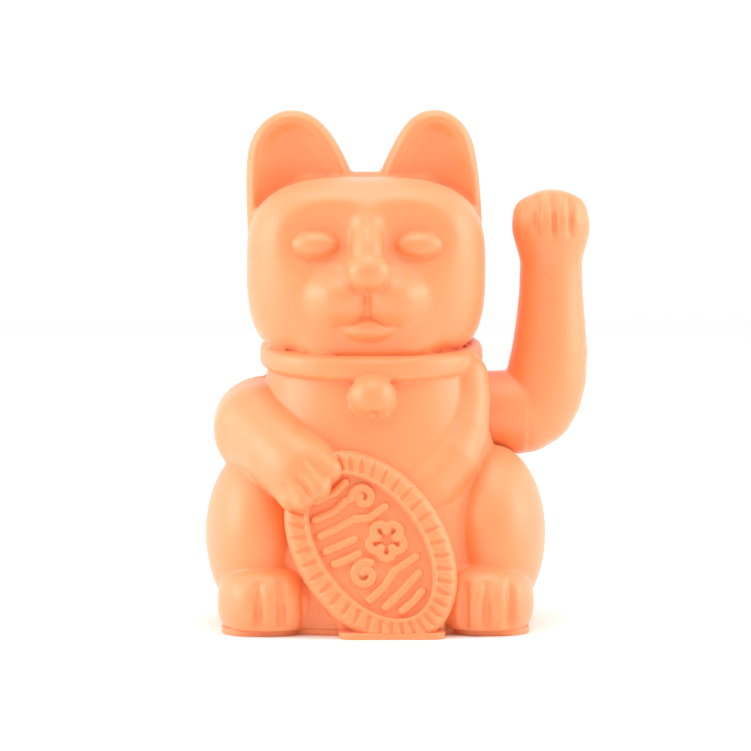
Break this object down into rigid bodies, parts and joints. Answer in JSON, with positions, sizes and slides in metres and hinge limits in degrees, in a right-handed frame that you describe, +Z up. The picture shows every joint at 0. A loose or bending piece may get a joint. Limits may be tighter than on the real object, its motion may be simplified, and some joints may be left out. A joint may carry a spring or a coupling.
{
  "type": "beckoning cat figurine",
  "caption": "Seated cat figurine of moulded plastic whose raised arm swings on a shaft, driven by a magnet and coil in its base.",
  "frame": {"origin": "underside of the base plate, under the middle of the body and under the axis of the swinging arm", "axes": "+Z up, the cat faces -Y, and its raised arm is on the +X side"},
  "size_m": [0.1128, 0.0868, 0.15],
  "materials": {
    "body_plastic": "fine matt, moulded in colour",
    "inner_plastic": "natural",
    "screw_steel": "zinc plated",
    "shaft_steel": "ground",
    "weight_steel": "sheared bar",
    "contact_steel": "nickel plated",
    "bush_brass": "turned",
    "board": "green resist",
    "coil_wire": "enamelled wire",
    "black_plastic": "moulded",
    "capacitor_sleeve": "shrink sleeve",
    "resistor_body": "lacquered",
    "red_wire": "soft",
    "black_wire": "soft",
    "cell_can": "plain sleeve",
    "magnet": "nickel plated"
  },
  "bodies": {
    "root": {"front_shell": "body_plastic", "rear_shell": "body_plastic", "base_plate": "body_plastic", "base_screws": "screw_steel", "movement_bracket": "inner_plastic", "bracket_screws": "screw_steel", "shaft_bushes": "bush_brass", "circuit_board": "board", "board_screws": "screw_steel", "coil_bobbin": "black_plastic", "coil_winding": "coil_wire", "transistor": "black_plastic", "capacitor": "capacitor_sleeve", "resistors": "resistor_body", "battery_contact_positive": "contact_steel", "battery_contact_negative": "contact_steel", "battery_spring": "contact_steel", "wire_red": "red_wire", "wire_black": "black_wire"},
    "swinging_arm": {"arm_front": "body_plastic", "arm_rear": "body_plastic", "pivot_shaft": "shaft_steel", "shaft_clips": "shaft_steel", "pendulum_lever": "inner_plastic", "counterweight": "weight_steel", "weight_screw": "screw_steel", "pendulum_magnet": "magnet"},
    "door": {"battery_door": "body_plastic"},
    "cell": {"battery_cell": "cell_can"}
  },
  "joints": [
    {"name": "arm_swing", "type": "hinge", "parent": "root", "child": "swinging_arm", "pos_m": [0.0286, 0, 0.0614], "axis": [1, 0, 0], "range_deg": [-20, 20]},
    {"name": "door_slide", "type": "slide", "parent": "root", "child": "door", "axis": [0, 0, -1], "range_m": [0, 0.06]},
    {"name": "cell_slide", "type": "slide", "parent": "root", "child": "cell", "axis": [0, 0, -1], "range_m": [0, 0.03]}
  ],
  "couplings": [
    {"joint": "cell_slide", "follows": "door_slide", "ratio": 0.5}
  ]
}
